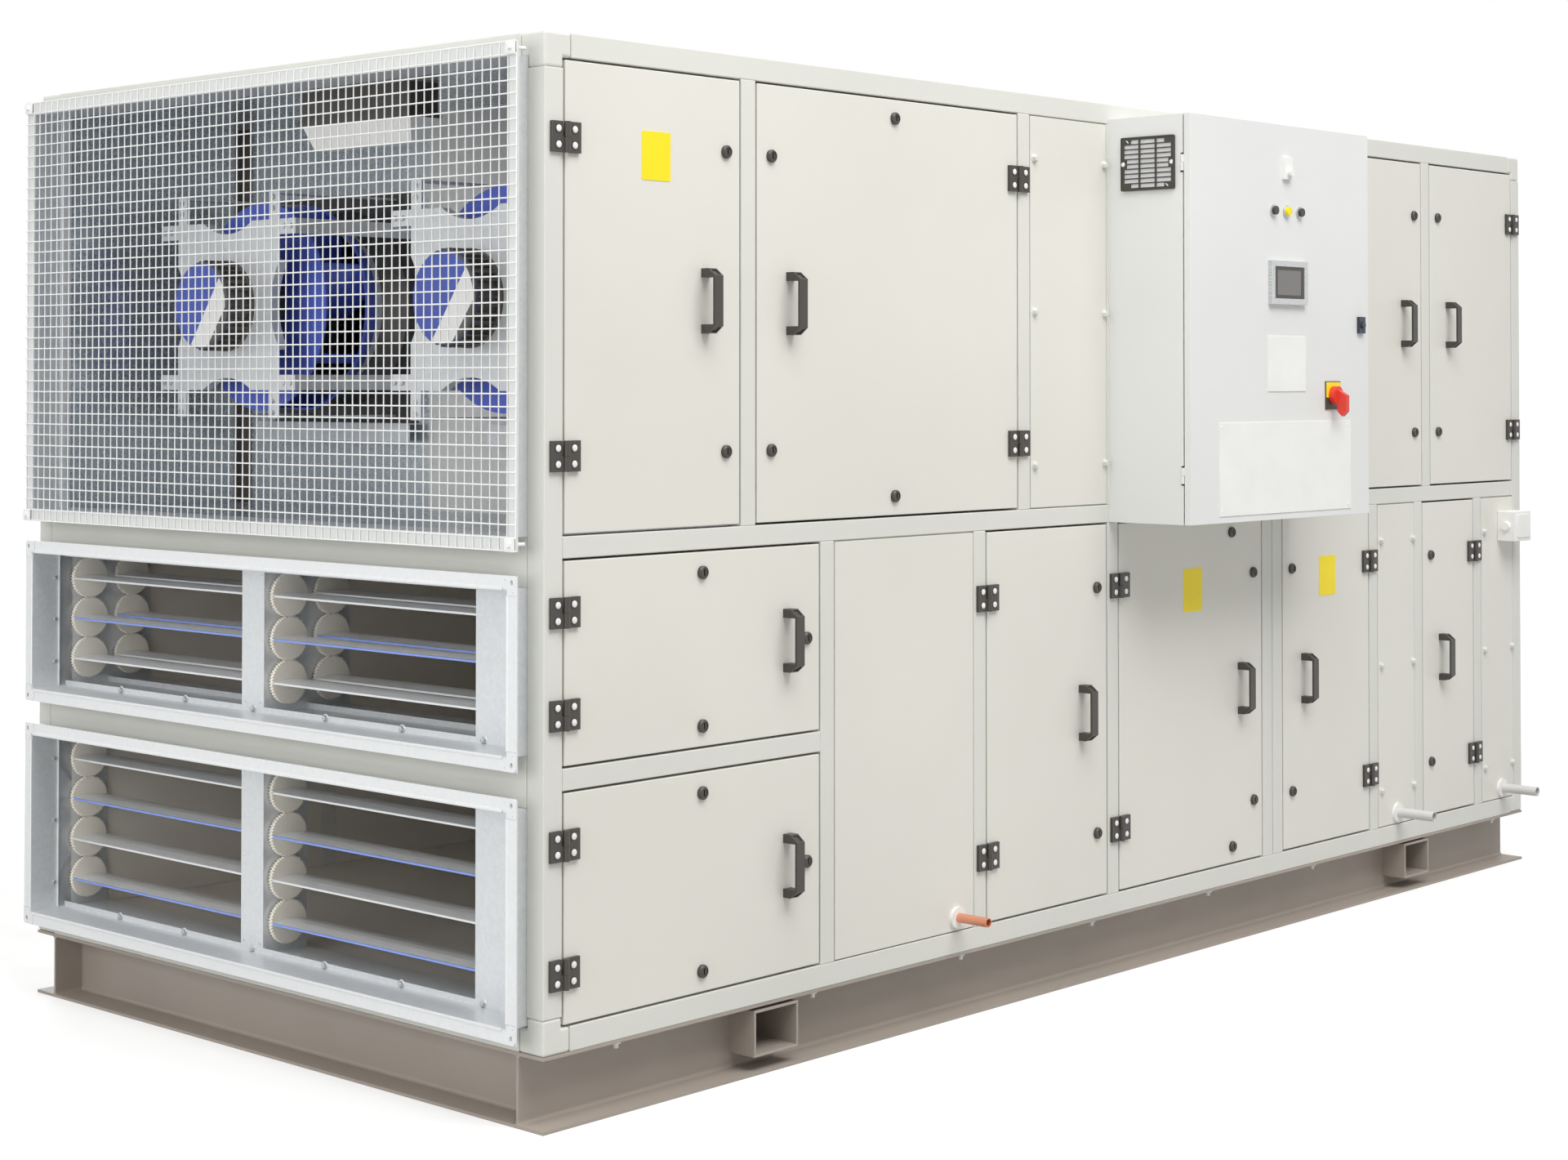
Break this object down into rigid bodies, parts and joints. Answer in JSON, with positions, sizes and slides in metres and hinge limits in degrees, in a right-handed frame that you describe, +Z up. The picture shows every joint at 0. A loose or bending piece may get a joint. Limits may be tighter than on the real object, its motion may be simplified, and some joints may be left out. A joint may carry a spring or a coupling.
{
  "type": "air handling unit",
  "caption": "Panelled air handling unit on a steel beam base, with louvre dampers and a guarded twin fan outlet at one end, hinged access doors and a control cabinet on the front.",
  "frame": {"origin": "on the floor under the middle of the whole unit", "axes": "+X along the front from the damper end to the far end, +Y from the front to the back, +Z up"},
  "size_m": [4.1676, 2.11, 2.182],
  "materials": {
    "panel_paint": "smooth satin light grey coating",
    "frame_paint": "smooth satin light grey coating",
    "base_paint": "satin taupe paint on rolled steel",
    "galvanised_steel": "zinc coating with soft spangle",
    "white_wire": "white powder coating",
    "blue_paint": "satin blue coating",
    "white_plastic": "moulded satin white",
    "black_plastic": "fine textured black",
    "cabinet_paint": "fine textured light grey powder coating",
    "copper": "drawn copper tube",
    "grey_plastic": "smooth grey pipe",
    "red_plastic": "moulded red",
    "blade_aluminium": "extruded blades with cream nylon gears"
  },
  "bodies": {
    "unit": {"base_frame": "base_paint", "lifting_tubes": "base_paint", "corner_pieces": "frame_paint", "posts": "frame_paint", "frame_rails": "frame_paint", "wall_panels": "panel_paint", "front_fixed_panels": "panel_paint", "middle_deck": "galvanised_steel", "fan_wall": "galvanised_steel", "guard_sleeve": "galvanised_steel", "guard_wires_upright": "white_wire", "guard_wires_level": "white_wire", "guard_corner_clips": "white_wire", "upper_damper_frame": "galvanised_steel", "inner_damper": "galvanised_steel", "lower_damper_frame": "galvanised_steel", "fan_brackets": "galvanised_steel", "fan_motors": "blue_paint", "inlet_cones": "galvanised_steel", "fan_lamp": "white_plastic", "hinge_leaves": "black_plastic", "control_cabinet": "cabinet_paint", "cabinet_vent": "black_plastic", "junction_box": "white_plastic", "copper_drain": "copper", "grey_drains": "grey_plastic", "drain_rosettes": "white_plastic"},
    "leaf_u1": {"door_u1": "panel_paint", "fittings_u1": "black_plastic"},
    "leaf_u2": {"door_u2": "panel_paint", "fittings_u2": "black_plastic"},
    "leaf_u5": {"door_u5": "panel_paint", "fittings_u5": "black_plastic"},
    "leaf_u6": {"door_u6": "panel_paint", "fittings_u6": "black_plastic"},
    "leaf_l1": {"door_l1": "panel_paint", "fittings_l1": "black_plastic"},
    "leaf_l2": {"door_l2": "panel_paint", "fittings_l2": "black_plastic"},
    "leaf_l4": {"door_l4": "panel_paint", "fittings_l4": "black_plastic"},
    "leaf_l5": {"door_l5": "panel_paint", "fittings_l5": "black_plastic"},
    "leaf_l6": {"door_l6": "panel_paint", "fittings_l6": "black_plastic"},
    "leaf_l8": {"door_l8": "panel_paint", "fittings_l8": "black_plastic"},
    "control_leaf": {"control_door": "cabinet_paint", "control_fittings": "white_plastic"},
    "switch": {"switch_handle": "red_plastic"},
    "upper_row_1": {"upper_blades_1": "blade_aluminium"},
    "upper_row_2": {"upper_blades_2": "blade_aluminium"},
    "upper_row_3": {"upper_blades_3": "blade_aluminium"},
    "lower_row_1": {"lower_blades_1": "blade_aluminium"},
    "lower_row_2": {"lower_blades_2": "blade_aluminium"},
    "lower_row_3": {"lower_blades_3": "blade_aluminium"},
    "lower_row_4": {"lower_blades_4": "blade_aluminium"},
    "wheel_front": {"impeller_front": "blue_paint"},
    "wheel_back": {"impeller_back": "blue_paint"}
  },
  "joints": [
    {"name": "door_u1_hinge", "type": "hinge", "parent": "unit", "child": "leaf_u1", "pos_m": [-1.96365, -0.774, 1.65375], "axis": [0, 0, 1], "range_deg": [-110, 0]},
    {"name": "door_u2_hinge", "type": "hinge", "parent": "unit", "child": "leaf_u2", "pos_m": [-0.48165, -0.774, 1.65375], "axis": [0, 0, 1], "range_deg": [0, 110]},
    {"name": "door_u5_hinge", "type": "hinge", "parent": "unit", "child": "leaf_u5", "pos_m": [0.95035, -0.774, 1.65375], "axis": [0, 0, 1], "range_deg": [-110, 0]},
    {"name": "door_u6_hinge", "type": "hinge", "parent": "unit", "child": "leaf_u6", "pos_m": [2.03135, -0.774, 1.65375], "axis": [0, 0, 1], "range_deg": [0, 110]},
    {"name": "door_l1_hinge", "type": "hinge", "parent": "unit", "child": "leaf_l1", "pos_m": [-1.96365, -0.774, 0.92275], "axis": [0, 0, 1], "range_deg": [-110, 0]},
    {"name": "door_l2_hinge", "type": "hinge", "parent": "unit", "child": "leaf_l2", "pos_m": [-1.96365, -0.774, 0.436], "axis": [0, 0, 1], "range_deg": [-110, 0]},
    {"name": "door_l4_hinge", "type": "hinge", "parent": "unit", "child": "leaf_l4", "pos_m": [-0.60515, -0.774, 0.66675], "axis": [0, 0, 1], "range_deg": [-110, 0]},
    {"name": "door_l5_hinge", "type": "hinge", "parent": "unit", "child": "leaf_l5", "pos_m": [-0.06765, -0.774, 0.66675], "axis": [0, 0, 1], "range_deg": [-110, 0]},
    {"name": "door_l6_hinge", "type": "hinge", "parent": "unit", "child": "leaf_l6", "pos_m": [1.16185, -0.774, 0.66675], "axis": [0, 0, 1], "range_deg": [0, 110]},
    {"name": "door_l8_hinge", "type": "hinge", "parent": "unit", "child": "leaf_l8", "pos_m": [1.78085, -0.774, 0.66675], "axis": [0, 0, 1], "range_deg": [0, 110]},
    {"name": "control_door_hinge", "type": "hinge", "parent": "unit", "child": "control_leaf", "pos_m": [-0.10765, -0.986, 1.638], "axis": [0, 0, 1], "range_deg": [-110, 0]},
    {"name": "switch_turn", "type": "hinge", "parent": "control_leaf", "child": "switch", "pos_m": [0.55635, -1.012, 1.448], "axis": [0, -1, 0], "range_deg": [0, 90]},
    {"name": "upper_row_1_turn", "type": "hinge", "parent": "unit", "child": "upper_row_1", "pos_m": [-1.91615, 0.145, 1.005], "axis": [0, 1, 0], "range_deg": [0, 90]},
    {"name": "upper_row_2_turn", "type": "hinge", "parent": "unit", "child": "upper_row_2", "pos_m": [-1.91615, 0.145, 0.908], "axis": [0, 1, 0], "range_deg": [-90, 0]},
    {"name": "upper_row_3_turn", "type": "hinge", "parent": "unit", "child": "upper_row_3", "pos_m": [-1.91615, 0.145, 0.811], "axis": [0, 1, 0], "range_deg": [0, 90]},
    {"name": "lower_row_1_turn", "type": "hinge", "parent": "unit", "child": "lower_row_1", "pos_m": [-1.91615, 0.145, 0.567], "axis": [0, 1, 0], "range_deg": [0, 90]},
    {"name": "lower_row_2_turn", "type": "hinge", "parent": "unit", "child": "lower_row_2", "pos_m": [-1.91615, 0.145, 0.47], "axis": [0, 1, 0], "range_deg": [-90, 0]},
    {"name": "lower_row_3_turn", "type": "hinge", "parent": "unit", "child": "lower_row_3", "pos_m": [-1.91615, 0.145, 0.373], "axis": [0, 1, 0], "range_deg": [0, 90]},
    {"name": "lower_row_4_turn", "type": "hinge", "parent": "unit", "child": "lower_row_4", "pos_m": [-1.91615, 0.145, 0.276], "axis": [0, 1, 0], "range_deg": [-90, 0]},
    {"name": "impeller_front_spin", "type": "hinge", "parent": "unit", "child": "wheel_front", "pos_m": [-1.70515, -0.296, 1.664], "axis": [1, 0, 0], "continuous": true},
    {"name": "impeller_back_spin", "type": "hinge", "parent": "unit", "child": "wheel_back", "pos_m": [-1.70515, 0.586, 1.664], "axis": [1, 0, 0], "continuous": true}
  ],
  "couplings": [
    {"joint": "upper_row_2_turn", "follows": "upper_row_1_turn", "ratio": -1},
    {"joint": "upper_row_3_turn", "follows": "upper_row_1_turn", "ratio": 1},
    {"joint": "lower_row_2_turn", "follows": "lower_row_1_turn", "ratio": -1},
    {"joint": "lower_row_3_turn", "follows": "lower_row_1_turn", "ratio": 1},
    {"joint": "lower_row_4_turn", "follows": "lower_row_1_turn", "ratio": -1}
  ]
}
